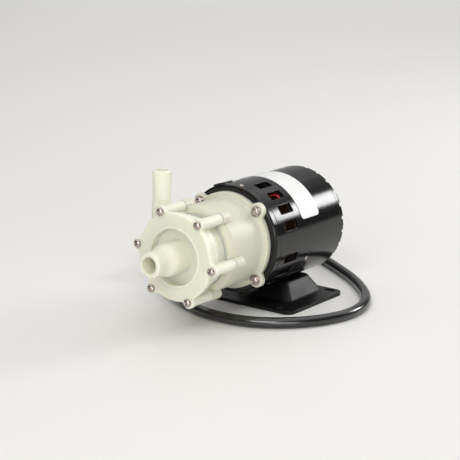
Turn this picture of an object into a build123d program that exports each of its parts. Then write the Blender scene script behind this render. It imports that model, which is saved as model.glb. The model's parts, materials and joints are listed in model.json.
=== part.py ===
from build123d import *
import math
import os

# Frame: origin on the floor in the middle of the four foot slots. +Z is up, +Y runs from the
# inlet along the shaft to the rear of the motor, +X is to the right seen from the inlet side.
# Angles about the shaft are in degrees from +X towards +Z, seen from the inlet side.

# Position of the shaft line and of the front face of the cover
AXIS_Z = 57.0
FACE_Y = -124.2

# Clearances
RUN_FIT = 0.05          # plain bearing on its shaft, radial
HUB_FIT = 0.02          # coupling hub on the motor shaft, radial
SPIGOT_FIT = 0.2        # spigot in its bore, radial
SCREW_FIT = 0.3         # screw shank in a plain hole, radial
END_FLOAT = 0.4         # end play of the impeller on its spindle
ROTOR_GAP = 0.4         # air gap between rotor and stator

# Front cover and inlet nozzle
COVER_R = 33.0
COVER_T = 4.0
COVER_EDGE = 0.7
COVER_LUG_R = 4.6
LUG_PCR = 34.4
LUG_FIRST = 51.8
LUG_COUNT = 6
LUG_BLEND = 2.5
SPIGOT_R = 24.0
COVER_SPIGOT_L = 4.0
NOZZLE_L = 28.5
NOZZLE_R = 9.4
NOZZLE_STRAIGHT = 9.5
NOZZLE_BASE_R = 12.1
NOZZLE_BASE_L = 9.4
INLET_R = 6.2
MOUTH_CHAMFER = 0.8
RECESS_R = 21.3
RECESS_ROOT = 1.0
RECESS_CORNER = 1.0
LIP_W = 1.6
LIP_H = 0.8
RECESS_FLOOR_T = 2.4

# Volute housing with the upright outlet
VOLUTE_L = 21.5
VOLUTE_RIM_R = 30.0
VOLUTE_RIM_L = 9.5
SCROLL_R0 = 26.0
SCROLL_R1 = 28.2
SCROLL_WALL = 2.8
TONGUE_ANGLE = 124.0
THROAT_ANGLE = -180.0
THROAT_RISE = 11.0
COLUMN_R = 4.0
COLUMN_WEB_T = 3.0
OUTLET_X = -21.5
OUTLET_DEPTH = 12.5
OUTLET_R = 6.9
OUTLET_COLLAR_R = 7.4
OUTLET_COLLAR_Z = 93.0
OUTLET_BORE_R = 4.7
OUTLET_TOP_Z = 117.0

# Ring seals in the two spigots
SEAL_SECTION = 1.7
SEAL_GROOVE_W = 2.0

# Rear casing, the thin can between the impeller magnet and the drive magnet
CAN_SPIGOT_L = 3.5
CAN_FLANGE_R = 27.5
CAN_FLANGE_T = 2.5
CAN_R = 17.0
CAN_WALL = 1.5
CAN_BOSS_R = 6.5
CAN_BOSS_L = 5.0

# Impeller, magnets and spindle
IMPELLER_R = 21.5
IMPELLER_CLEAR = 1.0
SHROUD_T = 1.5
EYE_R = 8.0
VANE_COUNT = 6
VANE_T = 1.6
VANE_H = 8.6
VANE_SWEEP = 58.0
HUB_R = 6.2
BARREL_R = 15.5
MAGNET_R0 = 10.0
MAGNET_R1 = 15.0
MAGNET_L = 17.0
MAGNET_START = 1.5
MAGNET_CAP_T = 2.0
BUSHING_R = 4.5
BUSHING_INSET = 3.0
BUSHING_PROUD = 0.5
SPINDLE_R = 3.0
SPINDLE_NOSE = 1.6
THRUST_T = 0.6
THRUST_R = 5.4
CLIP_T = 0.7
CLIP_R = 4.6
CLIP_GROOVE = 0.5
DRIVE_MAGNET_T = 5.0
MAGNET_AIR = 1.0
CUP_WALL = 2.5
CUP_BACK_T = 3.2
CUP_HUB_R = 9.0
CUP_HUB_L = 5.6
CUP_AIR = 0.8
CUP_BELL_GAP = 1.5
CUP_START = 0.6
SET_SCREW_R = 1.5

# Bell between the pump and the motor
BELL_LUG_R = 4.5
BELL_LUG_L = 9.5
BELL_SHOULDER_T = 1.5
BELL_DRUM_R = 33.3
BELL_NOSE = 5.0
BELL_WALL = 3.0
BELL_L = 43.0
BELL_FLANGE_R = 37.2
BELL_FLANGE_T = 4.0
BELL_FILLET = 3.8
BELL_LUG_PCR = 37.5
BELL_FLANGE_LUG_R = 6.0
BELL_SPOTFACE_R = 4.4

# Motor: end caps, shell and its openings
MOTOR_R = 42.0
SHELL_T = 1.6
CAP_T = 6.5
CAP_DISC_T = 3.5
CAP_CORNER = 2.0
CAP_RIM_T = 3.4
CAP_SPIGOT_L = 3.0
GROOVE_W = 0.3
EAR_FIRST = 17.5
EAR_WIDTH = 13.0
EAR_H = 1.3
EAR_FRONT = 1.0
EAR_BACK = 12.5
SHELL_L = 82.7
WINDOW_PITCH = 18.0
WINDOW_BLANK = 90.0
WINDOW_W = 7.4
WINDOW_L = 16.3
WINDOW_START = 8.1
WINDOW_CORNER = 0.8
SLIT_ANGLE = 93.7
SLIT_START = 3.6
SLIT_L = 4.0
SLIT_W = 1.4
REAR_CAP_T = 5.7
REAR_CAP_DISC_T = 2.5
REAR_CORNER = 3.0
REAR_SPIGOT_L = 2.0
REAR_SLOT_COUNT = 24
REAR_SLOT_W = 3.0
REAR_SLOT_L = 9.0
REAR_SLOT_D = 3.8
REAR_SLOT_FIRST = 7.5

# Motor: bearings and turning parts
SHAFT_R = 4.0
BEARING_R = 9.0
BEARING_L = 7.0
REAR_BEARING_INSET = 4.0
BEARING_HOUSING_T = 3.0
RETAINER_T = 1.2
SHAFT_OVERHANG = 7.5
SHAFT_INSET = 0.6
STACK_L = 36.0
STACK_START = 30.7
STATOR_BORE_R = 22.0
SLOT_COUNT = 24
SLOT_W = 3.0
SLOT_DEPTH = 8.5
SLOT_LIP = 1.2
SLOT_MOUTH_W = 1.4
WINDING_R = 34.2
WINDING_H = 13.0
WINDING_ROUND = 3.0
END_RING_T = 4.0
END_RING_STEP = 0.6
ROTOR_BORE_RING_R = 12.5
ROTOR_FIN_COUNT = 8
ROTOR_FIN_L = 5.0
ROTOR_FIN_T = 1.6
FAN_R = 34.0
FAN_L = 8.0
FAN_HUB_R = 8.0
FAN_DISC_R = 30.0
FAN_DISC_T = 1.5
FAN_BLADES = 9
FAN_START = 6.0
COLLAR_R = 6.5
COLLAR_T = 2.0

# Through bolts, one in each blank of the window row
BOLT_R = 1.8
BOLT_PCR = 36.5
BOLT_HEAD_AF = 6.0
BOLT_HEAD_T = 2.4
BOLT_BOSS_R = 3.8

# Screws: radius of head, height of head, radius of shank
COVER_SCREW = (3.05, 2.5, 1.6)
COVER_SCREW_L = 33.0
BELL_SCREW = (3.3, 2.4, 2.0)
BELL_SCREW_GRIP = 5.5
WASHER_R = 4.0
WASHER_T = 0.8
SHELL_SCREW = (1.7, 0.9, 1.1)
SHELL_SCREW_L = 4.0
CAP_SCREW_ANGLE = 81.8
CAP_SCREW_INSET = 2.0
CORE_SCREW_ANGLE = 154.2
CORE_SCREW_STATION = 39.7

# Bare label round the upper half of the shell
LABEL_T = 0.25
LABEL_LIFT = 0.1
LABEL_START = 31.2
LABEL_L = 23.2
LABEL_FROM = 19.7
LABEL_TO = 150.0
LABEL_CORNER = 3.0

# Pressed foot
FOOT_HALF_X = 44.0
FOOT_HALF_Y = 37.85
FOOT_T = 2.8
FOOT_CORNER = 7.0
SLOT_X = 34.0
SLOT_Y = 32.75
FOOT_SLOT_L = 10.0
FOOT_SLOT_W = 5.8
STAND_TOP_Z = 15.8
STAND_TOP_HALF_X = 20.0
STAND_TOP_Y0 = -11.2
STAND_TOP_Y1 = 24.8
STAND_BASE_HALF_X = 29.5
STAND_BASE_Y0 = -19.2
STAND_BASE_Y1 = 30.8
STAND_CORNER = 6.0
STAND_TOP_BEND = 2.6
STAND_BASE_BEND = 3.6

# Supply cord, its strain relief, coil, tie and plug
CORD_R = 4.2
RELIEF_ANGLE = 203.0
RELIEF_Y = 25.8
RELIEF_REACH = 24.0
RELIEF_R0 = 7.0
RELIEF_TAIL_R = 6.4
RELIEF_R1 = 5.0
RELIEF_SEAT = 0.7
RELIEF_GROOVES = 3
RELIEF_PITCH = 5.0
RELIEF_GROOVE_T = 1.6
RELIEF_NECK_R = 5.5
RELIEF_COLLAR_T = 2.2
RELIEF_INNER_T = 1.5
LEAD_WIRE_R = 0.9
JUMPER_RISE = 3.4
JUMPER_HALF = 9.0
JUMPER_INSET = 1.6
COIL_X = -84.0
COIL_Y = 84.5
COIL_MEAN_R = 47.0
COIL_TOP_Z = 21.2
COIL_LEAVE = 59.0
COIL_HALF_TURN = 170.0
COIL_CORNER = 3.9
TIE_ANGLE = -30.0
TIE_W = 5.0
TIE_T = 1.2
PLUG_L = 38.0
PLUG_W = 28.0
PLUG_H = 24.0
PLUG_GRIP_L = 12.0
PLUG_TAPER_L = 14.0
PLUG_CORNER = 6.0
PLUG_GRIP_R = 6.4
BLADE_L = 16.0
BLADE_H = 6.4
BLADE_T = 1.5
BLADE_PITCH = 12.7
BLADE_RISE = 3.0
EARTH_PIN_R = 2.4
EARTH_PIN_L = 19.0
EARTH_PIN_DROP = 8.0

# Corners of the cord between the strain relief and the coil, and between the coil and the plug
LEAD_OUT = 23.0
LEAD_CORNER = (-101.5, 33.6, 21.2)
RUN_CORNERS = [(-28.4, 110.8, 4.2), (4.0, 89.0, 4.2), (40.0, 63.5, 4.2), (74.0, 28.0, 4.2),
               (87.5, -10.0, 4.2), (74.0, -49.0, 4.2), (43.0, -79.0, 4.2), (3.0, -85.0, 4.2),
               (-34.0, -71.0, 4.2), (-66.0, -52.0, 12.0)]
RUN_END = (-86.0, -22.0, 12.0)

# Stations along the shaft that follow from the lengths above
Y_COVER = FACE_Y + COVER_T
Y_DISH = Y_COVER + COVER_SPIGOT_L
Y_MOUTH = FACE_Y - NOZZLE_L
Y_BELL = Y_COVER + VOLUTE_L
Y_CAN = Y_BELL - CAN_SPIGOT_L
Y_FLANGE = Y_BELL + CAN_FLANGE_T
Y_SHOULDER = Y_FLANGE + BELL_SHOULDER_T
Y_LUG_END = Y_BELL + BELL_LUG_L
Y_MOTOR = Y_BELL + BELL_L
Y_BELL_FLANGE = Y_MOTOR - BELL_FLANGE_T
Y_CAP = Y_MOTOR + CAP_T
Y_SHELL = Y_CAP + GROOVE_W
Y_REAR = Y_SHELL + SHELL_L
Y_END = Y_REAR + REAR_CAP_T
Y_IMPELLER = Y_DISH + IMPELLER_CLEAR
Y_VANES = Y_IMPELLER + SHROUD_T
Y_BACKPLATE = Y_VANES + VANE_H
Y_BARREL = Y_BACKPLATE + SHROUD_T
Y_MAGNET = Y_SHOULDER + MAGNET_START
Y_MAGNET_END = Y_MAGNET + MAGNET_L
Y_BARREL_END = Y_MAGNET_END + MAGNET_CAP_T
Y_BUSHING = Y_VANES + BUSHING_INSET
Y_BUSHING_END = Y_BARREL_END + BUSHING_PROUD
Y_BOSS = Y_BUSHING_END + END_FLOAT + THRUST_T
Y_CAN_INNER = Y_BOSS + CAN_BOSS_L
Y_CAN_END = Y_CAN_INNER + CAN_WALL
Y_CUP_BACK = Y_CAN_END + CUP_AIR
Y_CUP_END = Y_CUP_BACK + CUP_BACK_T
Y_SHAFT = Y_CUP_BACK + SHAFT_INSET
Y_BEARING = Y_MOTOR + CAP_DISC_T
Y_RETAINER = Y_BEARING + BEARING_L
Y_FAN = Y_SHELL + FAN_START
Y_STACK = Y_SHELL + STACK_START
Y_STACK_END = Y_STACK + STACK_L
Y_REAR_BEARING = Y_REAR - REAR_BEARING_INSET
Y_REAR_RETAINER = Y_REAR_BEARING - RETAINER_T

# Radii that follow
LUG_ANGLES = [LUG_FIRST + 360.0 / LUG_COUNT * step for step in range(LUG_COUNT)]
QUARTERS = [90.0 * step for step in range(4)]
BELL_LUG_ANGLES = [45.0 + angle for angle in QUARTERS]
SEAL_GROOVE_R = SPIGOT_R + SPIGOT_FIT - SEAL_SECTION
SEAL_R = SPIGOT_R + SPIGOT_FIT - SEAL_SECTION / 2
SHELL_BORE = MOTOR_R - SHELL_T
DRIVE_R0 = CAN_R + CAN_WALL + MAGNET_AIR
DRIVE_R1 = DRIVE_R0 + DRIVE_MAGNET_T
CUP_R = DRIVE_R1 + CUP_WALL
CUP_CLEAR_R = CUP_R + CUP_BELL_GAP
DRUM_BORE = BELL_DRUM_R - BELL_WALL
ROTOR_R = STATOR_BORE_R - ROTOR_GAP
COIL_OUT_R = COIL_MEAN_R + CORD_R
COIL_IN_R = COIL_MEAN_R - CORD_R


def polar(radius, degrees):
    angle = math.radians(degrees)
    return radius * math.cos(angle), radius * math.sin(angle)


def on_shaft(shape):
    return Pos(0, 0, AXIS_Z) * shape


def around(shape, degrees):
    """Turn a piece that was drawn about the shaft line at +X to an angle about that line."""
    return on_shaft(Rot(0, -degrees, 0) * Pos(0, 0, -AXIS_Z) * shape)


def turned(*corners):
    """Solid of revolution about the shaft line from (radius, y) or (radius, y, round) corners."""
    profile = make_face(Polyline(*[corner[:2] for corner in corners], close=True))
    for corner in corners:
        if len(corner) > 2:
            nearest = profile.vertices().sort_by_distance((corner[0], corner[1], 0))[0]
            profile = fillet(nearest, corner[2])
    return on_shaft(revolve(profile, Axis.Y))


def ring(inner, outer, y0, y1, edge=0.0):
    """Turned ring; edge rounds its two outer corners."""
    if edge:
        return turned((inner, y0), (outer, y0, edge), (outer, y1, edge), (inner, y1))
    return turned((inner, y0), (outer, y0), (outer, y1), (inner, y1))


def prism(sketch, y0, y1):
    """Extrusion from y0 back to y1 of a sketch seen from the inlet side, x right and z up."""
    return on_shaft(extrude(Plane.XZ.offset(-y1) * sketch, y1 - y0))


def peg(radius, y0, y1, spot=(0, 0)):
    return prism(Pos(*spot) * Circle(radius), y0, y1)


def pegs(radius, y0, y1, pitch_radius, angles):
    return [peg(radius, y0, y1, polar(pitch_radius, angle)) for angle in angles]


def lobed(radius, lug_radius, pitch_radius, angles, blend):
    """Round outline with a lug at each angle, each lug blended into the rim."""
    outline = Circle(radius)
    for angle in angles:
        outline += Pos(*polar(pitch_radius, angle)) * Circle(lug_radius)
    return fillet(outline.vertices(), blend)


def ring_sector(inner, outer, start, sweep):
    """Flat piece of a ring, for angles seen from the inlet side."""
    corners = [polar(inner, start), polar(outer, start)]
    far = [polar(outer, start + sweep), polar(inner, start + sweep)]
    outline = Line(*corners)
    outline += ThreePointArc(corners[1], polar(outer, start + sweep / 2), far[0])
    outline += Line(*far)
    outline += ThreePointArc(far[1], polar(inner, start + sweep / 2), corners[0])
    return make_face(outline)


def screw(head, length):
    """Pan head screw with a cross recess. Its seat is at the origin, its shank runs to +Y."""
    head_r, head_h, shank_r = head
    profile = Polyline((0, -head_h), (head_r * 0.45, -head_h))
    profile += ThreePointArc((head_r * 0.45, -head_h), (head_r * 0.84, -head_h * 0.72),
                             (head_r, -head_h * 0.3))
    profile += Polyline((head_r, -head_h * 0.3), (head_r, 0), (shank_r, 0),
                        (shank_r, length), (0, length), (0, -head_h))
    body = revolve(make_face(profile), Axis.Y)
    for turn in (0, 90):
        body -= Pos(0, -head_h, 0) * Rot(0, turn, 0) * Box(head_r * 1.05, head_h * 0.9, head_r * 0.26)
    return body


def tube(corners, radii, radius):
    """Round tube along straight runs with a rounded corner between each two of them."""
    path = FilletPolyline(*corners, radius=radii)
    return sweep(Plane(origin=path @ 0, z_dir=path % 0) * Circle(radius), path=path)


def corner_radii(corners, share=0.45):
    """Radius at each inner corner: a share of the shorter run over the tangent of half the turn."""
    points = [Vector(*corner) for corner in corners]
    radii = []
    for before, here, after in zip(points, points[1:], points[2:]):
        shorter = min((here - before).length, (after - here).length)
        half = math.radians((here - before).get_angle(after - here)) / 2
        radii.append(share * shorter / math.tan(half))
    print("cord bend radii", [round(radius, 1) for radius in radii])
    return radii


def front_cover():
    outline = lobed(COVER_R, COVER_LUG_R, LUG_PCR, LUG_ANGLES, LUG_BLEND)
    plate = prism(outline, FACE_Y, Y_COVER)
    plate = fillet(plate.faces().sort_by(Axis.Y)[0].edges(), COVER_EDGE)
    spigot = ring(INLET_R, SPIGOT_R, Y_COVER, Y_DISH)
    groove = seal_groove(Y_COVER + (COVER_SPIGOT_L - SEAL_GROOVE_W) / 2)
    y_floor = Y_DISH - RECESS_FLOOR_T
    straight_end = Y_MOUTH + NOZZLE_STRAIGHT
    base_start = FACE_Y - NOZZLE_BASE_L
    outline = Polyline((INLET_R, Y_MOUTH), (NOZZLE_R - MOUTH_CHAMFER, Y_MOUTH),
                       (NOZZLE_R, Y_MOUTH + MOUTH_CHAMFER), (NOZZLE_R, straight_end))
    outline += Spline((NOZZLE_R, straight_end), (NOZZLE_BASE_R, base_start),
                      tangents=[(0, 1), (0, 1)])
    outline += Polyline((NOZZLE_BASE_R, base_start), (NOZZLE_BASE_R, y_floor),
                        (INLET_R, y_floor), (INLET_R, Y_MOUTH))
    nozzle = on_shaft(revolve(make_face(outline), Axis.Y))
    recess = turned((NOZZLE_BASE_R, FACE_Y - 1), (NOZZLE_BASE_R, y_floor, RECESS_ROOT),
                    (RECESS_R, y_floor, RECESS_CORNER), (RECESS_R, FACE_Y - 1))
    lip = turned((RECESS_R, FACE_Y - LIP_H), (RECESS_R + LIP_W, FACE_Y - LIP_H, LIP_H / 2),
                 (RECESS_R + LIP_W, FACE_Y + LIP_H), (RECESS_R, FACE_Y + LIP_H))
    body = plate + spigot + nozzle + lip
    body -= recess
    body -= groove
    body -= peg(INLET_R, Y_MOUTH - 1, Y_DISH + 1)
    for hole in pegs(COVER_SCREW[2] + SCREW_FIT, FACE_Y - 1, Y_COVER + 1, LUG_PCR, LUG_ANGLES):
        body -= hole
    return body


def seal_groove(y0):
    return ring(SEAL_GROOVE_R, SPIGOT_R + 1, y0, y0 + SEAL_GROOVE_W)


def seal(y0):
    section = Pos(SEAL_R, y0 + SEAL_GROOVE_W / 2) * Circle(SEAL_SECTION / 2)
    return on_shaft(revolve(section, Axis.Y))


def scroll_face(inset):
    """Area inside the scroll, whose radius grows from the tongue to the throat."""
    steps = 16
    points = []
    for step in range(steps + 1):
        share = step / steps
        angle = TONGUE_ANGLE + (THROAT_ANGLE - TONGUE_ANGLE) * share
        points.append(polar(SCROLL_R0 + (SCROLL_R1 - SCROLL_R0) * share - inset, angle))
    outline = Spline(*points)
    outline += Polyline(points[-1], (points[-1][0], THROAT_RISE), points[0])
    return make_face(outline)


def volute_housing():
    body = prism(scroll_face(0), Y_COVER, Y_BELL)
    for angle in LUG_ANGLES:
        length = LUG_PCR - SCROLL_R0 + SCROLL_WALL / 2
        web = Rot(0, 0, angle) * Pos(LUG_PCR - length / 2, 0) * Rectangle(length, COLUMN_WEB_T)
        body += prism(web, Y_COVER, Y_BELL)
    for column in pegs(COLUMN_R, Y_COVER, Y_BELL, LUG_PCR, LUG_ANGLES):
        body += column
    body += peg(VOLUTE_RIM_R, Y_COVER, Y_COVER + VOLUTE_RIM_L)
    outlet_y = FACE_Y + OUTLET_DEPTH
    height = OUTLET_TOP_Z - AXIS_Z
    pipe = Pos(OUTLET_X, outlet_y, AXIS_Z + height / 2) * Cylinder(OUTLET_R, height)
    body += chamfer(pipe.edges().sort_by(Axis.Z)[-1], MOUTH_CHAMFER)
    height = OUTLET_COLLAR_Z - AXIS_Z
    collar = Pos(OUTLET_X, outlet_y, AXIS_Z + height / 2) * Cylinder(OUTLET_COLLAR_R, height)
    body += chamfer(collar.edges().sort_by(Axis.Z)[-1], OUTLET_COLLAR_R - OUTLET_R - 0.01)
    height = OUTLET_TOP_Z - AXIS_Z
    body -= prism(scroll_face(SCROLL_WALL), Y_DISH, Y_CAN)
    body -= Pos(OUTLET_X, outlet_y, AXIS_Z + height / 2 + 1) * Cylinder(OUTLET_BORE_R, height + 2)
    body -= peg(SPIGOT_R + SPIGOT_FIT, Y_COVER - 1, Y_DISH)
    body -= peg(SPIGOT_R + SPIGOT_FIT, Y_CAN, Y_BELL + 1)
    for hole in pegs(COVER_SCREW[2] + SCREW_FIT, Y_COVER - 1, Y_BELL + 1, LUG_PCR, LUG_ANGLES):
        body -= hole
    return body


def rear_casing():
    outer = CAN_R + CAN_WALL
    body = turned((0, Y_CAN), (SPIGOT_R, Y_CAN), (SPIGOT_R, Y_BELL), (CAN_FLANGE_R, Y_BELL),
                  (CAN_FLANGE_R, Y_FLANGE), (outer, Y_FLANGE), (outer, Y_CAN_END, CAN_WALL),
                  (0, Y_CAN_END))
    body -= turned((0, Y_CAN - 1), (CAN_R, Y_CAN - 1), (CAN_R, Y_CAN_INNER, CAN_WALL / 2),
                   (0, Y_CAN_INNER))
    body += peg(CAN_BOSS_R, Y_BOSS, Y_CAN_INNER)
    body -= peg(SPINDLE_R, Y_BOSS - 1, Y_CAN_INNER - CAN_WALL / 2)
    return body - seal_groove(Y_CAN + (CAN_SPIGOT_L - SEAL_GROOVE_W) / 2)


def impeller():
    body = turned((EYE_R, Y_IMPELLER), (IMPELLER_R, Y_IMPELLER), (IMPELLER_R, Y_VANES),
                  (EYE_R + 1.0, Y_VANES, 0.8))
    blade = trace(ThreePointArc(polar(HUB_R, 0), polar((HUB_R + IMPELLER_R) / 2, VANE_SWEEP * 0.36),
                                polar(IMPELLER_R - VANE_T / 2, VANE_SWEEP)), VANE_T)
    for step in range(VANE_COUNT):
        body += prism(Rot(0, 0, 360.0 / VANE_COUNT * step) * blade, Y_VANES, Y_BACKPLATE)
    body += peg(IMPELLER_R, Y_BACKPLATE, Y_BARREL)
    body += turned((0, Y_BUSHING), (HUB_R, Y_BUSHING, 1.5), (HUB_R, Y_BARREL), (0, Y_BARREL))
    body += peg(BARREL_R, Y_BARREL, Y_BARREL_END)
    body -= ring(MAGNET_R0, MAGNET_R1, Y_MAGNET, Y_BARREL_END + 1)
    return body - peg(BUSHING_R, Y_BUSHING - 1, Y_BARREL_END + 1)


def spindle():
    nose = Y_BUSHING - END_FLOAT - THRUST_T - CLIP_T - SPINDLE_NOSE
    body = turned((0, nose), (SPINDLE_R, nose, 0.5), (SPINDLE_R, Y_CAN_INNER - CAN_WALL / 2),
                  (0, Y_CAN_INNER - CAN_WALL / 2))
    y_clip = nose + SPINDLE_NOSE
    return body - ring(SPINDLE_R - CLIP_GROOVE, SPINDLE_R + 1, y_clip, y_clip + CLIP_T)


def spindle_clip():
    y_clip = Y_BUSHING - END_FLOAT - THRUST_T - CLIP_T
    body = ring(SPINDLE_R - CLIP_GROOVE, CLIP_R, y_clip, y_clip + CLIP_T)
    gap = Pos(0, -CLIP_R / 2) * Rectangle(SPINDLE_R, CLIP_R)
    return body - prism(gap, y_clip - 1, y_clip + CLIP_T + 1)


def thrust_washers():
    y_front = Y_BUSHING - END_FLOAT - THRUST_T
    return [ring(SPINDLE_R, THRUST_R, y_front, y_front + THRUST_T),
            ring(SPINDLE_R, THRUST_R, Y_BOSS - THRUST_T, Y_BOSS)]


def bell():
    body = turned((0, Y_BELL), (BELL_DRUM_R, Y_BELL, BELL_NOSE),
                  (BELL_DRUM_R, Y_BELL_FLANGE, BELL_FILLET),
                  (BELL_FLANGE_R + 1, Y_BELL_FLANGE), (BELL_FLANGE_R + 1, Y_MOTOR), (0, Y_MOTOR))
    body &= peg(BELL_FLANGE_R, Y_BELL - 1, Y_MOTOR + 1)
    flange = lobed(BELL_FLANGE_R, BELL_FLANGE_LUG_R, BELL_LUG_PCR, BELL_LUG_ANGLES, LUG_BLEND)
    flange = prism(flange, Y_BELL_FLANGE, Y_MOTOR)
    body += fillet(flange.faces().sort_by(Axis.Y)[0].edges(), COVER_EDGE)
    for lug in pegs(BELL_LUG_R, Y_BELL, Y_LUG_END, LUG_PCR, LUG_ANGLES):
        body += lug
    body -= turned((0, Y_BELL - 1), (CAN_FLANGE_R + SPIGOT_FIT, Y_BELL - 1),
                   (CAN_FLANGE_R + SPIGOT_FIT, Y_FLANGE), (SPIGOT_R, Y_FLANGE),
                   (SPIGOT_R, Y_SHOULDER), (CUP_CLEAR_R, Y_SHOULDER), (CUP_CLEAR_R, Y_LUG_END + 1),
                   (DRUM_BORE, Y_LUG_END + 2.8), (DRUM_BORE, Y_MOTOR + 1), (0, Y_MOTOR + 1))
    for seat in pegs(BELL_SPOTFACE_R, Y_BELL_FLANGE - BELL_FILLET - 4, Y_BELL_FLANGE,
                     BELL_LUG_PCR, BELL_LUG_ANGLES):
        body -= seat
    for hole in pegs(COVER_SCREW[2], Y_BELL - 1, FACE_Y + COVER_SCREW_L, LUG_PCR, LUG_ANGLES):
        body -= hole
    for hole in pegs(BELL_SCREW[2] + SCREW_FIT, Y_BELL_FLANGE - 1, Y_MOTOR + 1,
                     BELL_LUG_PCR, BELL_LUG_ANGLES):
        body -= hole
    return body


def row_of_screws(head, length, seat_y, pitch_radius, angles):
    solids = []
    for angle in angles:
        x, z = polar(pitch_radius, angle)
        solids.append(Pos(x, seat_y, AXIS_Z + z) * Rot(0, -angle, 0) * screw(head, length))
    return solids


def bell_washers():
    washers = pegs(WASHER_R, Y_BELL_FLANGE - WASHER_T, Y_BELL_FLANGE, BELL_LUG_PCR, BELL_LUG_ANGLES)
    holes = pegs(BELL_SCREW[2], Y_BELL_FLANGE - 2, Y_BELL_FLANGE + 1, BELL_LUG_PCR, BELL_LUG_ANGLES)
    return [washer - hole for washer, hole in zip(washers, holes)]


def magnet_cup():
    y_open = Y_MAGNET - CUP_START
    body = turned((0, y_open), (CUP_R, y_open, 0.5), (CUP_R, Y_CUP_END, 1.5), (0, Y_CUP_END))
    body -= peg(DRIVE_R1, y_open - 1, Y_CUP_BACK)
    body += peg(CUP_HUB_R, Y_CUP_END, Y_CUP_END + CUP_HUB_L)
    body -= peg(SHAFT_R + HUB_FIT, Y_CUP_BACK - 1, Y_CUP_END + CUP_HUB_L + 1)
    hole = Pos(0, Y_CUP_END + CUP_HUB_L / 2, AXIS_Z + CUP_HUB_R / 2) * Cylinder(SET_SCREW_R, CUP_HUB_R)
    return body - hole


def hub_set_screw():
    length = CUP_HUB_R - SHAFT_R - 0.6
    middle = Pos(0, Y_CUP_END + CUP_HUB_L / 2, AXIS_Z + SHAFT_R - 0.4 + length / 2)
    body = middle * Cylinder(SET_SCREW_R, length)
    socket = Plane((0, Y_CUP_END + CUP_HUB_L / 2, AXIS_Z + SHAFT_R - 0.4 + length - 1.4))
    return body - extrude(socket * RegularPolygon(1.1, 6), 2)


def motor_shaft():
    body = ring(0, SHAFT_R, Y_SHAFT, Y_REAR_BEARING + SHAFT_OVERHANG, 0.6)
    flat = Pos(0, Y_CUP_END + CUP_HUB_L / 2, AXIS_Z + SHAFT_R) * Box(2 * SHAFT_R, CUP_HUB_L, 0.8)
    return body - flat


def front_end_cap():
    body = turned((0, Y_MOTOR), (MOTOR_R, Y_MOTOR, CAP_CORNER), (MOTOR_R, Y_CAP),
                  (SHELL_BORE, Y_CAP), (SHELL_BORE, Y_CAP + CAP_SPIGOT_L), (0, Y_CAP + CAP_SPIGOT_L))
    inner = MOTOR_R - CAP_RIM_T
    body -= ring(BEARING_R + BEARING_HOUSING_T, inner, Y_MOTOR + CAP_DISC_T, Y_CAP + CAP_SPIGOT_L + 1)
    body += ring(CUP_R, DRUM_BORE - SPIGOT_FIT, Y_MOTOR - 2, Y_MOTOR)
    for boss in pegs(BELL_SPOTFACE_R, Y_MOTOR + 1, Y_MOTOR + BELL_SCREW_GRIP + 1,
                     BELL_LUG_PCR, BELL_LUG_ANGLES):
        body += boss & peg(MOTOR_R - 0.5, Y_MOTOR, Y_CAP)
    for boss in pegs(BOLT_BOSS_R, Y_MOTOR + 1, Y_CAP + CAP_SPIGOT_L, BOLT_PCR, QUARTERS):
        body += boss & peg(SHELL_BORE, Y_MOTOR, Y_REAR)
    for angle in QUARTERS:
        start = EAR_FIRST + angle - EAR_WIDTH / 2
        ear = ring_sector(MOTOR_R, MOTOR_R + EAR_H, start, EAR_WIDTH)
        root = ring_sector(inner, MOTOR_R + EAR_H, start, EAR_WIDTH)
        body += prism(ear, Y_MOTOR + EAR_FRONT, Y_MOTOR + EAR_BACK)
        body += prism(root, Y_MOTOR + EAR_FRONT, Y_CAP)
    body -= peg(BEARING_R, Y_BEARING, Y_CAP + CAP_SPIGOT_L + 1)
    body -= peg(SHAFT_R + 1, Y_MOTOR - 3, Y_BEARING + 1)
    for hole in pegs(BELL_SCREW[2], Y_MOTOR - 1, Y_MOTOR + BELL_SCREW_GRIP,
                     BELL_LUG_PCR, BELL_LUG_ANGLES):
        body -= hole
    for hole in pegs(BOLT_R, Y_MOTOR + CAP_DISC_T, Y_REAR, BOLT_PCR, QUARTERS):
        body -= hole
    for hole in shell_screw_holes(Y_CAP - CAP_SCREW_INSET, CAP_SCREW_ANGLE):
        body -= hole
    return body


def shell_screw_holes(y, angle):
    """Two radial holes for small screws, opposite each other."""
    length = SHELL_SCREW_L + 1
    drill = Rot(0, 90, 0) * Cylinder(SHELL_SCREW[2], length)
    drill = on_shaft(Pos(MOTOR_R + 1 - length / 2, y, 0) * drill)
    return [around(drill, angle), around(drill, angle + 180)]


def shell_screws():
    solids = []
    for y, angle in ((Y_CAP - CAP_SCREW_INSET, CAP_SCREW_ANGLE),
                     (Y_SHELL + CORE_SCREW_STATION, CORE_SCREW_ANGLE)):
        upright = on_shaft(Pos(MOTOR_R, y, 0) * Rot(0, 0, 90) * screw(SHELL_SCREW, SHELL_SCREW_L))
        solids.extend([around(upright, angle), around(upright, angle + 180)])
    return solids


def window_row():
    cutters = []
    step_count = int(360 / WINDOW_PITCH)
    middle_y = Y_SHELL + WINDOW_START + WINDOW_L / 2
    block = Box(8, WINDOW_L, WINDOW_W)
    block = fillet(block.edges().filter_by(Axis.X), WINDOW_CORNER)
    block = on_shaft(Pos(MOTOR_R, middle_y, 0) * block)
    for step in range(step_count):
        angle = WINDOW_PITCH * step
        if angle % WINDOW_BLANK:
            cutters.append(around(block, angle))
    return cutters


def relief_axis():
    """Plane on the shell where the cord enters, its normal pointing out along the cord."""
    x, z = polar(1, RELIEF_ANGLE)
    return Plane(origin=(MOTOR_R * x, RELIEF_Y, AXIS_Z + MOTOR_R * z), z_dir=(x, 0, z))


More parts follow.
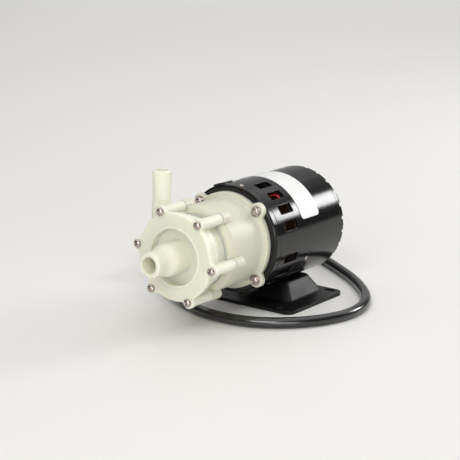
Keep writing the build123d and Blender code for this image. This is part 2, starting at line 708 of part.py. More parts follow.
def motor_shell():
    body = ring(SHELL_BORE, MOTOR_R, Y_SHELL, Y_REAR)
    for cutter in window_row():
        body -= cutter
    slit = on_shaft(Pos(MOTOR_R, Y_SHELL + SLIT_START + SLIT_L / 2, 0) * Box(4, SLIT_L, SLIT_W))
    body -= around(slit, SLIT_ANGLE)
    for hole in shell_screw_holes(Y_SHELL + CORE_SCREW_STATION, CORE_SCREW_ANGLE):
        body -= hole
    entry = extrude(relief_axis().offset(-SHELL_T * 3) * Circle(RELIEF_NECK_R), SHELL_T * 5)
    return body - entry


def rear_end_cap():
    body = turned((0, Y_REAR), (MOTOR_R, Y_REAR), (MOTOR_R, Y_END, REAR_CORNER), (0, Y_END))
    body += ring(MOTOR_R - CAP_RIM_T, SHELL_BORE, Y_REAR - REAR_SPIGOT_L, Y_REAR)
    housing = BEARING_R + BEARING_HOUSING_T
    inner = MOTOR_R - CAP_RIM_T
    body -= ring(housing, inner, Y_REAR - REAR_SPIGOT_L - 1, Y_END - REAR_CAP_DISC_T)
    body += peg(housing, Y_REAR_BEARING, Y_END - REAR_CAP_DISC_T)
    for boss in pegs(BOLT_BOSS_R, Y_REAR, Y_END - 1, BOLT_PCR, QUARTERS):
        body += boss & peg(inner + 1, Y_REAR - 1, Y_END)
    body -= peg(BEARING_R, Y_REAR_BEARING - 1, Y_REAR_BEARING + BEARING_L)
    body -= peg(SHAFT_R + 1, Y_REAR, Y_REAR_BEARING + SHAFT_OVERHANG + 0.6)
    cutter = Pos(MOTOR_R + 1, Y_END, 0) * Box(REAR_SLOT_L, 2 * REAR_SLOT_D, REAR_SLOT_W)
    cutter = on_shaft(cutter)
    for step in range(REAR_SLOT_COUNT):
        body -= around(cutter, REAR_SLOT_FIRST + 360.0 / REAR_SLOT_COUNT * step)
    for hole in pegs(BOLT_R, Y_REAR - 1, Y_END + 1, BOLT_PCR, QUARTERS):
        body -= hole
    return body


def through_bolts():
    solids = []
    for angle in QUARTERS:
        spot = polar(BOLT_PCR, angle)
        bolt = peg(BOLT_R, Y_MOTOR + CAP_DISC_T, Y_END, spot)
        head = Pos(*spot) * RegularPolygon(BOLT_HEAD_AF / 2, 6, major_radius=False)
        solids.append(bolt + prism(head, Y_END, Y_END + BOLT_HEAD_T))
    return solids


def stator_core():
    body = ring(STATOR_BORE_R, SHELL_BORE, Y_STACK, Y_STACK_END)
    depth = SLOT_DEPTH
    slot = Pos(STATOR_BORE_R + SLOT_LIP + depth / 2, 0) * Rectangle(depth, SLOT_W)
    mouth = Pos(STATOR_BORE_R + SLOT_LIP / 2, 0) * Rectangle(SLOT_LIP * 2, SLOT_MOUTH_W)
    slots = Sketch() + [Rot(0, 0, 360.0 / SLOT_COUNT * (step + 0.5)) * (slot + mouth)
                        for step in range(SLOT_COUNT)]
    body -= prism(slots, Y_STACK - 1, Y_STACK_END + 1)
    for hole in pegs(BOLT_R + SCREW_FIT, Y_STACK - 1, Y_STACK_END + 1, BOLT_PCR, QUARTERS):
        body -= hole
    for hole in shell_screw_holes(Y_SHELL + CORE_SCREW_STATION, CORE_SCREW_ANGLE):
        body -= hole
    return body


def stator_windings():
    inner = STATOR_BORE_R + SLOT_LIP + 1.2
    body = turned((inner, Y_STACK - WINDING_H, WINDING_ROUND),
                  (WINDING_R, Y_STACK - WINDING_H, WINDING_ROUND),
                  (WINDING_R, Y_STACK), (inner, Y_STACK))
    body += turned((inner, Y_STACK_END), (WINDING_R, Y_STACK_END),
                   (WINDING_R, Y_STACK_END + WINDING_H - 1, WINDING_ROUND),
                   (inner, Y_STACK_END + WINDING_H - 1, WINDING_ROUND))
    bar = Pos(STATOR_BORE_R + SLOT_LIP + SLOT_DEPTH / 2, 0) * Rectangle(SLOT_DEPTH, SLOT_W)
    bars = Sketch() + [Rot(0, 0, 360.0 / SLOT_COUNT * (step + 0.5)) * bar
                       for step in range(SLOT_COUNT)]
    return body + prism(bars, Y_STACK, Y_STACK_END)


def rotor_core():
    return ring(SHAFT_R, ROTOR_R, Y_STACK, Y_STACK_END)


def rotor_end_rings():
    solids = []
    reach = END_RING_T + ROTOR_FIN_L
    fin_h = ROTOR_R - ROTOR_BORE_RING_R - 2
    fin = Pos((ROTOR_BORE_RING_R + ROTOR_R) / 2, 0) * Rectangle(fin_h, ROTOR_FIN_T)
    for ring_y, fin_y in ((Y_STACK - END_RING_T, Y_STACK - reach), (Y_STACK_END, Y_STACK_END)):
        body = ring(ROTOR_BORE_RING_R, ROTOR_R - END_RING_STEP, ring_y, ring_y + END_RING_T)
        for step in range(ROTOR_FIN_COUNT):
            body += prism(Rot(0, 0, 360.0 / ROTOR_FIN_COUNT * step) * fin, fin_y, fin_y + reach)
        solids.append(body)
    return solids


def cooling_fan():
    body = peg(FAN_HUB_R, Y_FAN, Y_FAN + FAN_L)
    body += peg(FAN_DISC_R, Y_FAN + FAN_L - FAN_DISC_T, Y_FAN + FAN_L)
    length = FAN_R - FAN_HUB_R + 1
    blade = Pos(FAN_R - length / 2, 0) * Rectangle(length, FAN_DISC_T)
    for step in range(FAN_BLADES):
        body += prism(Rot(0, 0, 360.0 / FAN_BLADES * step) * blade, Y_FAN, Y_FAN + FAN_L)
    return body - peg(SHAFT_R, Y_FAN - 1, Y_FAN + FAN_L + 1)


def shaft_collars():
    y_front = Y_FAN + FAN_L
    y_back = Y_REAR_RETAINER - COLLAR_T - 0.8
    return [ring(SHAFT_R, COLLAR_R, y, y + COLLAR_T) for y in (y_front, y_back)]


def red_jumper():
    """Short insulated wire arching over the front end turns behind the second window."""
    y = Y_SHELL + WINDOW_START + WINDOW_L - JUMPER_INSET
    middle = 3 * WINDOW_PITCH
    points = []
    for share in (-1, -0.5, 0, 0.5, 1):
        rise = JUMPER_RISE * math.cos(math.radians(90 * share)) ** 1.2
        x, z = polar(WINDING_R + LEAD_WIRE_R + rise, middle - JUMPER_HALF * share)
        points.append((x, y, AXIS_Z + z))
    start = polar(1, middle + JUMPER_HALF - 90)
    end = polar(1, middle - JUMPER_HALF - 90)
    path = Spline(*points, tangents=[(start[0], 0, start[1]), (end[0], 0, end[1])])
    return sweep(Plane(origin=path @ 0, z_dir=path % 0) * Circle(LEAD_WIRE_R), path=path)


def lead_wires():
    """Three insulated wires from the inner end of the strain relief to the rear end turns."""
    radius = WINDING_R + LEAD_WIRE_R
    inward = -relief_axis().z_dir
    solids = []
    for step in range(3):
        y = RELIEF_Y + 2.4 * (step - 1)
        sweep_angle = 16.0 + 10.0 * step
        start = SHELL_BORE - RELIEF_INNER_T
        first = polar(start, RELIEF_ANGLE)
        points = [(first[0], y, AXIS_Z + first[1])]
        for share in (0.5, 1.0):
            x, z = polar(start + (radius - start) * share, RELIEF_ANGLE + sweep_angle * share)
            points.append((x, y, AXIS_Z + z))
        along = polar(1, RELIEF_ANGLE + sweep_angle + 100)
        path = Spline(*points, tangents=[inward, (along[0], 0, along[1])])
        solids.append(sweep(Plane(origin=path @ 0, z_dir=path % 0) * Circle(LEAD_WIRE_R), path=path))
    return solids


def thermal_protector():
    y0 = Y_STACK_END + WINDING_H - 1
    body = on_shaft(Pos((STATOR_BORE_R + WINDING_R) / 2 + 1.5, y0 + 1.5, 0) * Box(6.5, 3.0, 12.0))
    body = fillet(body.edges().filter_by(Axis.Y), 1.2)
    return around(body, 60)


def rating_label():
    middle_r = MOTOR_R + LABEL_LIFT + LABEL_T / 2
    section = Pos(middle_r, Y_SHELL + LABEL_START + LABEL_L / 2) * Rectangle(LABEL_T, LABEL_L)
    band = revolve(section, Axis.Y, LABEL_TO - LABEL_FROM)
    band = Rot(0, -LABEL_TO, 0) * band
    corners = [edge for edge in band.edges() if edge.length < 2 * LABEL_T]
    return on_shaft(fillet(corners, LABEL_CORNER))


def stand_shell(z_base, z_top, inset):
    """Raised middle of the foot as a solid block, drawn in by inset on all sides."""
    sketches = []
    for z, half_x, y0, y1 in ((z_base, STAND_BASE_HALF_X, STAND_BASE_Y0, STAND_BASE_Y1),
                              (z_top, STAND_TOP_HALF_X, STAND_TOP_Y0, STAND_TOP_Y1)):
        size = RectangleRounded(2 * (half_x - inset), y1 - y0 - 2 * inset, STAND_CORNER)
        sketches.append(Pos(0, (y0 + y1) / 2, z) * size)
    return loft(sketches)


def foot_bracket():
    plate = RectangleRounded(2 * FOOT_HALF_X, 2 * FOOT_HALF_Y, FOOT_CORNER)
    body = extrude(plate, FOOT_T)
    body += stand_shell(FOOT_T, STAND_TOP_Z, 0)
    top = body.faces().filter_by(Axis.Z).sort_by(Axis.Z)[-1]
    body = fillet(top.edges(), STAND_TOP_BEND)
    rim = [edge for edge in body.edges()
           if abs(edge.center().Z - FOOT_T) < 0.01 and abs(edge.center().X) < STAND_BASE_HALF_X + 1
           and STAND_BASE_Y0 - 1 < edge.center().Y < STAND_BASE_Y1 + 1]
    body = fillet(rim, STAND_BASE_BEND)
    body -= stand_shell(0, STAND_TOP_Z - FOOT_T, FOOT_T)
    body -= on_shaft(Rot(90, 0, 0) * Cylinder(MOTOR_R, 200))
    for x in (-SLOT_X, SLOT_X):
        for y in (-SLOT_Y, SLOT_Y):
            slot = extrude(SlotOverall(FOOT_SLOT_L, FOOT_SLOT_W), FOOT_T, both=True)
            body -= Pos(x, y, FOOT_T / 2) * slot
    return body


def strain_relief():
    """Moulded sleeve: inner flange, neck in the shell, outer collar and a tapered tail."""
    plane = relief_axis()
    tail = loft([plane * Circle(RELIEF_TAIL_R),
                 plane.offset(RELIEF_REACH) * Circle(RELIEF_R1)])
    collar = extrude(plane.offset(-RELIEF_SEAT) * Circle(RELIEF_R0), RELIEF_COLLAR_T + RELIEF_SEAT)
    neck = extrude(plane.offset(-SHELL_T - RELIEF_INNER_T) * Circle(RELIEF_NECK_R),
                   SHELL_T + RELIEF_INNER_T)
    body = tail + collar - peg(MOTOR_R, Y_SHELL, Y_REAR)
    body += neck
    for step in range(RELIEF_GROOVES):
        along = RELIEF_PITCH * (step + 1.2)
        radius = RELIEF_TAIL_R - (RELIEF_TAIL_R - RELIEF_R1) * along / RELIEF_REACH
        groove = Circle(radius + 1) - Circle(radius - RELIEF_GROOVE_T / 2)
        body -= extrude(plane.offset(along) * groove, RELIEF_GROOVE_T)
    return body


def coil_point(radius, degrees, z):
    x, y = polar(radius, degrees)
    return COIL_X + x, COIL_Y + y, z


def lead_end():
    """Where the cord from the strain relief meets the top turn of the coil, and the angle there."""
    x, y = LEAD_CORNER[0] - COIL_X, LEAD_CORNER[1] - COIL_Y
    distance = math.hypot(x, y)
    angle = math.degrees(math.atan2(y, x)) - math.degrees(math.acos(COIL_MEAN_R / distance))
    return coil_point(COIL_MEAN_R, angle, COIL_TOP_Z), angle


def cord_lead():
    plane = relief_axis().offset(RELIEF_REACH)
    corners = [tuple(plane.origin), tuple(plane.offset(LEAD_OUT).origin), LEAD_CORNER, lead_end()[0]]
    return tube(corners, corner_radii(corners), CORD_R)


def cord_run():
    corners = [coil_point(COIL_OUT_R, COIL_LEAVE, CORD_R), *RUN_CORNERS, RUN_END]
    return tube(corners, corner_radii(corners), CORD_R)


def cord_coil():
    """Outer shape of the coil: two layers of two turns with a half turn on top, hollowed where
    the outgoing cord leaves its side."""
    section = Pos(COIL_MEAN_R, 2 * CORD_R) * RectangleRounded(4 * CORD_R, 4 * CORD_R, COIL_CORNER)
    body = revolve(Plane.XZ * section, Axis.Z)
    rise = COIL_TOP_Z - 3 * CORD_R
    crest = Pos(COIL_MEAN_R, COIL_TOP_Z) * Circle(CORD_R)
    crest += Pos(COIL_MEAN_R, COIL_TOP_Z - rise / 2) * Rectangle(2 * CORD_R, rise)
    half_turn = revolve(Plane.XZ * crest, Axis.Z, COIL_HALF_TURN)
    body += Rot(0, 0, lead_end()[1] - COIL_HALF_TURN) * half_turn
    return Pos(COIL_X, COIL_Y, 0) * body - cord_run()


def cord_tie():
    inner = RectangleRounded(4 * CORD_R, 4 * CORD_R, COIL_CORNER)
    outer = RectangleRounded(4 * CORD_R + 2 * TIE_T, 4 * CORD_R + 2 * TIE_T, COIL_CORNER + TIE_T)
    band = Pos(COIL_MEAN_R, 2 * CORD_R) * (outer - inner)
    band -= Pos(COIL_MEAN_R, -CORD_R / 2) * Rectangle(6 * CORD_R, CORD_R)
    body = extrude(Plane.XZ * band, TIE_W / 2, both=True)
    return Pos(COIL_X, COIL_Y, 0) * Rot(0, 0, TIE_ANGLE) * body


def plug_plane():
    before, end = Vector(*RUN_CORNERS[-1]), Vector(*RUN_END)
    return Plane(origin=RUN_END, x_dir=(0, 0, 1), z_dir=(end - before).normalized())


def plug_body():
    plane = plug_plane()
    small = RectangleRounded(PLUG_H * 0.62, PLUG_W * 0.66, PLUG_CORNER - 1)
    full = RectangleRounded(PLUG_H, PLUG_W, PLUG_CORNER)
    shoulder = plane.offset(PLUG_GRIP_L + PLUG_TAPER_L)
    nose = loft([plane.offset(PLUG_GRIP_L) * small, shoulder * full])
    nose += extrude(shoulder * full, PLUG_L - PLUG_GRIP_L - PLUG_TAPER_L)
    grip = loft([plane * Circle(CORD_R + 1), plane.offset(PLUG_GRIP_L) * Circle(PLUG_GRIP_R)])
    return nose + grip


def plug_blades():
    plane = plug_plane().offset(PLUG_L)
    solids = []
    for side in (-BLADE_PITCH / 2, BLADE_PITCH / 2):
        solids.append(extrude(plane * Pos(BLADE_RISE, side) * Rectangle(BLADE_H, BLADE_T), BLADE_L))
    spot = Pos(BLADE_RISE - EARTH_PIN_DROP, 0)
    solids.append(extrude(plane * spot * Circle(EARTH_PIN_R), EARTH_PIN_L))
    return solids


def save(name, shape):
    solids = []
    for item in shape if isinstance(shape, list) else [shape]:
        solids.extend(item.solids())
    piece = solids[0] if len(solids) == 1 else Compound(children=solids)
    export_step(piece, f"parts/{name}.step")


os.makedirs("parts", exist_ok=True)

save("front_cover", front_cover())
save("cover_screws", row_of_screws(COVER_SCREW, COVER_SCREW_L, FACE_Y, LUG_PCR, LUG_ANGLES))
save("cover_seal", seal(Y_COVER + (COVER_SPIGOT_L - SEAL_GROOVE_W) / 2))
save("volute_housing", volute_housing())
save("casing_seal", seal(Y_CAN + (CAN_SPIGOT_L - SEAL_GROOVE_W) / 2))
save("rear_casing", rear_casing())
save("impeller", impeller())
save("impeller_magnet", ring(MAGNET_R0, MAGNET_R1, Y_MAGNET, Y_MAGNET_END))
save("magnet_cap", ring(MAGNET_R0, MAGNET_R1, Y_MAGNET_END, Y_BARREL_END))
save("impeller_bushing", ring(SPINDLE_R + RUN_FIT, BUSHING_R, Y_BUSHING, Y_BUSHING_END))
save("spindle", spindle())
save("spindle_clip", spindle_clip())
save("thrust_washers", thrust_washers())
save("bell", bell())
save("bell_washers", bell_washers())
save("bell_screws", row_of_screws(BELL_SCREW, WASHER_T + BELL_FLANGE_T + BELL_SCREW_GRIP,
                                  Y_BELL_FLANGE - WASHER_T, BELL_LUG_PCR, BELL_LUG_ANGLES))
save("drive_magnet", ring(DRIVE_R0, DRIVE_R1, Y_MAGNET, Y_MAGNET_END))
save("magnet_cup", magnet_cup())
save("hub_set_screw", hub_set_screw())
save("motor_shaft", motor_shaft())
save("front_end_cap", front_end_cap())
save("front_bearing", ring(SHAFT_R + RUN_FIT, BEARING_R, Y_BEARING, Y_RETAINER))
save("front_retainer", ring(SHAFT_R + 1, BEARING_R + 2, Y_RETAINER, Y_RETAINER + RETAINER_T))
save("motor_shell", motor_shell())
save("rating_label", rating_label())
save("stator_core", stator_core())
save("stator_windings", stator_windings())
save("red_jumper", red_jumper())
save("lead_wires", lead_wires())
save("thermal_protector", thermal_protector())
save("rotor_core", rotor_core())
save("rotor_end_rings", rotor_end_rings())
save("cooling_fan", cooling_fan())
save("shaft_collars", shaft_collars())
save("rear_end_cap", rear_end_cap())
save("rear_bearing", ring(SHAFT_R + RUN_FIT, BEARING_R, Y_REAR_BEARING, Y_REAR_BEARING + BEARING_L))
save("rear_retainer", ring(SHAFT_R + 1, BEARING_R + 2, Y_REAR_RETAINER, Y_REAR_BEARING))
save("through_bolts", through_bolts())
save("shell_screws", shell_screws())
save("foot_bracket", foot_bracket())
save("strain_relief", strain_relief())
save("cord_lead", cord_lead())
save("cord_coil", cord_coil())
save("cord_tie", cord_tie())
save("cord_run", cord_run())
save("plug_body", plug_body())
save("plug_blades", plug_blades())
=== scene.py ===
import json
import math

import bpy
from mathutils import Matrix, Vector


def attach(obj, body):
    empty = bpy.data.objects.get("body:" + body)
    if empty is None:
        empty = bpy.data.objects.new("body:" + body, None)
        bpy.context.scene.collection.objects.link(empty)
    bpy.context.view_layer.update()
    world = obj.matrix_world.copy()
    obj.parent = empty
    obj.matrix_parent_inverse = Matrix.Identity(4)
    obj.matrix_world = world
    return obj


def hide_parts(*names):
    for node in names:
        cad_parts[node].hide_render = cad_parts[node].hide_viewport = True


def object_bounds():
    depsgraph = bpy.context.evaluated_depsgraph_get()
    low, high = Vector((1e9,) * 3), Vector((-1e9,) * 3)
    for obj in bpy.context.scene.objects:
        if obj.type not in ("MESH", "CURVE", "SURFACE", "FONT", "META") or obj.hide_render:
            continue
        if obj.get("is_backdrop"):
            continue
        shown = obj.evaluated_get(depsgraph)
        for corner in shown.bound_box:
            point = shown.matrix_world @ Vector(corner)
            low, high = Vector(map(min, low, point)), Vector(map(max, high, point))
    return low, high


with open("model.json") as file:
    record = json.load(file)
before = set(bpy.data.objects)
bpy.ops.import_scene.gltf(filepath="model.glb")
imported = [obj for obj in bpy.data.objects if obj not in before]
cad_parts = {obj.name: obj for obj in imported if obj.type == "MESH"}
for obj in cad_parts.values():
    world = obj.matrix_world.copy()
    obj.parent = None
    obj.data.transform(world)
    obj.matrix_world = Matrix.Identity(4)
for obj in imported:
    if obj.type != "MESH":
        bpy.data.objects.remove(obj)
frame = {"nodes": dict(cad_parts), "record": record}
cad_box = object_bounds()
nodes = frame["nodes"]
scene = bpy.context.scene
scene.view_settings.view_transform = "Standard"


def plain(value):
    """Boxes and vectors as plain lists of numbers."""
    if hasattr(value, "__len__"):
        return [plain(item) for item in value]
    return float(value)


# Camera: place in metres, turn in radians and focal length in pixels, found from the photograph
PICTURE_WIDTH = 460
CAM_AT = Vector((0.644425, -0.926741, 0.337471))
CAM_YAW, CAM_PITCH, CAM_ROLL = 0.63747, 0.24679, 0.01122
CAM_FOCAL = 1473.54
CAM_SHIFT_DOWN = 0.5
SENSOR_WIDTH = 36


def place_camera():
    ahead = Vector((-math.sin(CAM_YAW) * math.cos(CAM_PITCH),
                    math.cos(CAM_YAW) * math.cos(CAM_PITCH), -math.sin(CAM_PITCH)))
    level = Vector((math.cos(CAM_YAW), math.sin(CAM_YAW), 0))
    upward = level.cross(ahead)
    right = math.cos(CAM_ROLL) * level + math.sin(CAM_ROLL) * upward
    top = math.cos(CAM_ROLL) * upward - math.sin(CAM_ROLL) * level
    turn = Matrix((right, top, -ahead)).transposed().to_4x4()
    camera = bpy.data.objects.new("camera", bpy.data.cameras.new("camera"))
    camera.matrix_world = Matrix.Translation(CAM_AT) @ turn
    camera.data.sensor_width = SENSOR_WIDTH
    camera.data.lens = CAM_FOCAL / PICTURE_WIDTH * SENSOR_WIDTH
    camera.data.shift_y = -CAM_SHIFT_DOWN / PICTURE_WIDTH
    camera.data.clip_end = 50
    scene.collection.objects.link(camera)
    scene.camera = camera


place_camera()


# Shared by the finishes: how far light goes inside a plastic, and how deep the fine bump is
GLOW_DEPTH = 0.005
GLOW_TINT = (1.0, 0.94, 0.78)
BUMP_DEPTH = 0.0002
EDGE_SAMPLES = 6

FINISH = {}


def finish(slot, color, rough, metallic=0.0, spread=0.06, grain=60.0, rough_spread=0.05,
           bump=0.0, bump_scale=400.0, subsurface=0.0, specular=0.5, stretch=(1, 1, 1), edge=0.0):
    """Procedural finish: colour and roughness drift over the surface, with a fine bump, and
    with edge the light catches on edges rounded by that radius in metres."""
    made = bpy.data.materials.new(slot + "_look")
    made.use_nodes = True
    tree = made.node_tree
    shader = tree.nodes["Principled BSDF"]
    shader.inputs["Metallic"].default_value = metallic
    shader.inputs["Specular IOR Level"].default_value = specular
    shader.inputs["Subsurface Weight"].default_value = subsurface
    shader.inputs["Subsurface Scale"].default_value = GLOW_DEPTH
    shader.inputs["Subsurface Radius"].default_value = GLOW_TINT
    place = tree.nodes.new("ShaderNodeTexCoord")
    mapping = tree.nodes.new("ShaderNodeMapping")
    mapping.inputs["Scale"].default_value = stretch
    tree.links.new(place.outputs["Object"], mapping.inputs["Vector"])
    drift = tree.nodes.new("ShaderNodeTexNoise")
    drift.inputs["Scale"].default_value = grain
    drift.inputs["Detail"].default_value = 4
    tree.links.new(mapping.outputs["Vector"], drift.inputs["Vector"])
    ramp = tree.nodes.new("ShaderNodeValToRGB")
    ramp.color_ramp.elements[0].position = 0.3
    ramp.color_ramp.elements[1].position = 0.7
    ramp.color_ramp.elements[0].color = [max(0.0, c * (1 - spread)) for c in color] + [1]
    ramp.color_ramp.elements[1].color = [min(1.0, c * (1 + spread)) for c in color] + [1]
    tree.links.new(drift.outputs["Fac"], ramp.inputs["Fac"])
    tree.links.new(ramp.outputs["Color"], shader.inputs["Base Color"])
    shine = tree.nodes.new("ShaderNodeMapRange")
    shine.inputs["To Min"].default_value = max(0.02, rough - rough_spread)
    shine.inputs["To Max"].default_value = min(1.0, rough + rough_spread)
    tree.links.new(drift.outputs["Fac"], shine.inputs["Value"])
    tree.links.new(shine.outputs["Result"], shader.inputs["Roughness"])
    if bump:
        fine = tree.nodes.new("ShaderNodeTexNoise")
        fine.inputs["Scale"].default_value = bump_scale
        fine.inputs["Detail"].default_value = 3
        tree.links.new(mapping.outputs["Vector"], fine.inputs["Vector"])
        relief = tree.nodes.new("ShaderNodeBump")
        relief.inputs["Strength"].default_value = bump
        relief.inputs["Distance"].default_value = BUMP_DEPTH
        tree.links.new(fine.outputs["Fac"], relief.inputs["Height"])
        tree.links.new(relief.outputs["Normal"], shader.inputs["Normal"])
        if edge:
            rounding = tree.nodes.new("ShaderNodeBevel")
            rounding.samples = EDGE_SAMPLES
            rounding.inputs["Radius"].default_value = edge
            tree.links.new(rounding.outputs["Normal"], relief.inputs["Normal"])
    FINISH[slot] = made


MOULDED = {"spread": 0.03, "grain": 35, "bump": 0.10, "bump_scale": 900}
PLATED = {"metallic": 1, "grain": 180, "bump": 0.08, "bump_scale": 1500}

# Plastics and the bare label
finish("natural_plastic", (0.765, 0.765, 0.63), 0.42, subsurface=0.85, **MOULDED)
# The bell's finish is the pump head's cream plastic darkened as painted shade
finish("bell_shaded_plastic", (0.63, 0.625, 0.51), 0.42, subsurface=0.85, **MOULDED)
finish("impeller_plastic", (0.78, 0.77, 0.66), 0.4, **MOULDED)
finish("fan_plastic", (0.05, 0.05, 0.05), 0.4, bump=0.1)
finish("tie_plastic", (0.05, 0.05, 0.05), 0.4)
finish("label_white", (0.80, 0.80, 0.79), 0.36, spread=0.015, grain=40, bump=0.03, bump_scale=600)

# Black coats of the motor and its foot
finish("black_enamel", (0.0040, 0.0034, 0.0034), 0.17, spread=0.2, grain=25, rough_spread=0.03,
       bump=0.05, bump_scale=260, specular=0.38, edge=0.0006)
finish("foot_enamel", (0.0045, 0.0038, 0.0036), 0.44, spread=0.2, grain=60, rough_spread=0.06,
       bump=0.12, bump_scale=500, specular=0.26, edge=0.0012)

# Metals
finish("stainless", (0.52, 0.46, 0.43), 0.2, metallic=1, spread=0.08, grain=500, bump=0.08,
       bump_scale=2500, edge=0.0003)
finish("zinc_steel", (0.60, 0.60, 0.60), 0.32, **PLATED)
finish("dark_steel", (0.20, 0.19, 0.18), 0.35, **PLATED)
finish("bronze", (0.50, 0.33, 0.15), 0.35, metallic=1, grain=700, bump=0.1)
finish("lamination", (0.20, 0.19, 0.18), 0.5, metallic=1, grain=3000, spread=0.3,
       stretch=(0.01, 1, 0.01))
finish("cast_aluminium", (0.62, 0.62, 0.63), 0.4, metallic=1, grain=300, bump=0.3)
finish("blade_brass", (0.68, 0.50, 0.22), 0.25, metallic=1, grain=400)

# Seals, magnets and bearing parts
finish("seal_rubber", (0.03, 0.03, 0.03), 0.6, bump=0.1)
finish("ferrite", (0.09, 0.09, 0.10), 0.55, grain=300, bump=0.2)
finish("carbon", (0.06, 0.06, 0.065), 0.4, grain=300)
finish("white_ceramic", (0.86, 0.85, 0.80), 0.25, spread=0.02)

# Windings, wires and the cord
finish("copper_enamel", (0.045, 0.018, 0.009), 0.4, metallic=0.5, grain=900, spread=0.3,
       bump=0.6, bump_scale=900, stretch=(1, 0.2, 1))
finish("red_wire", (0.40, 0.02, 0.015), 0.35, spread=0.05)
finish("lead_black", (0.03, 0.03, 0.03), 0.45)
finish("cord_black", (0.006, 0.005, 0.005), 0.21, spread=0.15, grain=120, bump=0.12,
       bump_scale=1400, specular=0.9)

slot_of = {part["node"]: part["material_slot"] for part in frame["record"]["subparts"]}
# The pressed foot has a duller coat than the rest of the motor, and the bell gets a darker copy of
# # the pump head's plastic as painted shade
slot_of["foot_bracket"] = "foot_enamel"
slot_of["bell"] = "bell_shaded_plastic"
for name, obj in nodes.items():
    look = FINISH[slot_of[name]]
    if not obj.material_slots:
        obj.data.materials.append(look)
    for slot in obj.material_slots:
        slot.material = look


# Cord, in metres and degrees: clockwise from above through the coil, so its angles fall
CORD_D = 0.0084
COIL_AT = (-0.084, 0.0845)
COIL_OUT, COIL_IN, COIL_MID = 0.0512, 0.0428, 0.047
FLOOR_LEVEL, SECOND_LEVEL, TOP_LEVEL = 0.0042, 0.0126, 0.0212
COIL_START, COIL_END, COIL_STEP = -138.0, -1741.0, 24.0

# Where the coil begins each lane, with the lane's radius and height, and how long the change takes
LANES = [(COIL_START, COIL_MID, TOP_LEVEL), (-361.0, COIL_OUT, SECOND_LEVEL),
         (-701.0, COIL_IN, SECOND_LEVEL), (-1041.0, COIL_IN, FLOOR_LEVEL),
         (-1381.0, COIL_OUT, FLOOR_LEVEL)]
LANE_CHANGE = 84.0

# Control points from the strain relief to the coil, and from the coil to the plug
LEAD_POINTS = [(-0.060753, 0.0258, 0.031212), (-0.0663, 0.0258, 0.02886), (-0.0765, 0.0266, 0.0250),
               (-0.0870, 0.0288, 0.0226), (-0.0975, 0.0327, 0.0214), (-0.1075, 0.0397, 0.0212),
               (-0.1178, 0.0513, 0.0212)]
RUN_POINTS = [(-0.0577, 0.1314, 0.0042), (-0.0423, 0.1221, 0.0042), (-0.0284, 0.1108, 0.0042),
              (0.004, 0.089, 0.0042), (0.040, 0.0635, 0.0042), (0.0735, 0.028, 0.0042),
              (0.0857, -0.010, 0.0042), (0.074, -0.049, 0.0042), (0.043, -0.079, 0.0042),
              (0.003, -0.085, 0.0042), (-0.034, -0.071, 0.0042), (-0.066, -0.052, 0.012),
              (-0.086, -0.022, 0.012)]


def coil_points():
    """Hand-wound coil: half a turn and more on top, then the upper outer, upper inner, lower inner
    and lower outer turns, each eased into the next on the side that the motor hides."""
    spread = 1 / math.cos(math.radians(COIL_STEP / 2))
    points = []
    angle = COIL_START - COIL_STEP
    while angle > COIL_END:
        radius, height = LANES[0][1:]
        for start, lane_radius, lane_height in LANES[1:]:
            share = min(1.0, max(0.0, (start - angle) / LANE_CHANGE))
            share = (1 - math.cos(math.pi * share)) / 2
            radius += (lane_radius - radius) * share
            height += (lane_height - height) * share
        turn_angle = math.radians(angle)
        points.append((COIL_AT[0] + radius * spread * math.cos(turn_angle),
                       COIL_AT[1] + radius * spread * math.sin(turn_angle), height))
        angle -= COIL_STEP
    return points


def cord_curve(name, points, diameter, look):
    data = bpy.data.curves.new(name, "CURVE")
    data.dimensions = "3D"
    spline = data.splines.new("NURBS")
    spline.points.add(len(points) - 1)
    for spot, point in zip(points, spline.points):
        point.co = (*spot, 1)
    spline.order_u = 3
    spline.use_endpoint_u = True
    spline.resolution_u = 8
    data.bevel_depth = diameter / 2
    data.bevel_resolution = 5
    data.use_fill_caps = True
    data.materials.append(look)
    made = bpy.data.objects.new(name, data)
    scene.collection.objects.link(made)
    return made


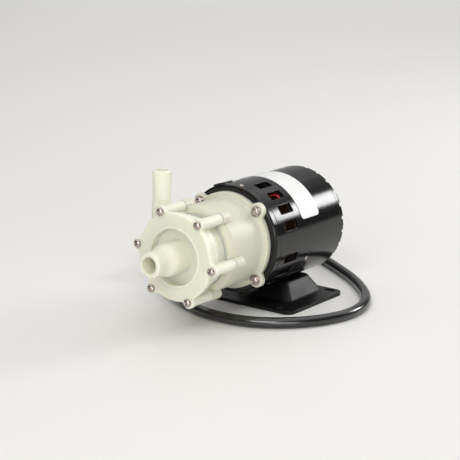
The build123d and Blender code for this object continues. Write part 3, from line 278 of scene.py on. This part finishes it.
cord = cord_curve("supply_cord", LEAD_POINTS + coil_points() + RUN_POINTS, CORD_D,
                  FINISH["cord_black"])
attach(cord, "pump_and_motor")
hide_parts("cord_lead", "cord_coil", "cord_run")


# Floor, far enough to fill the picture, and plain studio light: places and sizes in metres,
# power in watts
def stage_floor():
    size = 14.0
    mesh = bpy.data.meshes.new("floor")
    corners = [(-size, -size, 0), (size, -size, 0), (size, size, 0), (-size, size, 0)]
    mesh.from_pydata(corners, [], [(0, 1, 2, 3)])
    floor = bpy.data.objects.new("floor", mesh)
    scene.collection.objects.link(floor)
    look = bpy.data.materials.new("floor_look")
    look.use_nodes = True
    shader = look.node_tree.nodes["Principled BSDF"]
    shader.inputs["Base Color"].default_value = (0.80, 0.79, 0.765, 1)
    shader.inputs["Roughness"].default_value = 0.55
    shader.inputs["Specular IOR Level"].default_value = 0.3
    mesh.materials.append(look)
    floor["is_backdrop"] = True


def soft_light(name, at, aim, size, power):
    data = bpy.data.lights.new(name, "AREA")
    data.shape = "RECTANGLE"
    data.size, data.size_y = size
    data.energy = power
    lamp = bpy.data.objects.new(name, data)
    lamp.location = at
    lamp.rotation_euler = (Vector(aim) - Vector(at)).to_track_quat("-Z", "Y").to_euler()
    scene.collection.objects.link(lamp)


def studio_world():
    world = bpy.data.worlds.new("studio")
    world.use_nodes = True
    background = world.node_tree.nodes["Background"]
    background.inputs["Color"].default_value = (1, 0.995, 0.98, 1)
    background.inputs["Strength"].default_value = 0.12
    scene.world = world


stage_floor()
soft_light("overhead", (-0.6, 1.3, 3.6), (-0.6, 1.3, 0), (7.0, 7.0), 170)
soft_light("back_right", (0.68, 1.27, 0.67), (0, 0.02, 0.09), (0.44, 0.34), 8.2)
soft_light("front_fill", (1.0, -2.2, 1.5), (0, -0.05, 0.05), (1.5, 1.5), 38)
soft_light("low_fill", (1.5, -1.3, 0.35), (0, -0.12, 0.06), (1.0, 0.6), 9)
soft_light("backdrop", (-1.3, 2.2, 1.0), (0, 0, 0.1), (2.0, 2.0), 4.5)
studio_world()

{"cad": plain(cad_box), "visual": plain(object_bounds())}
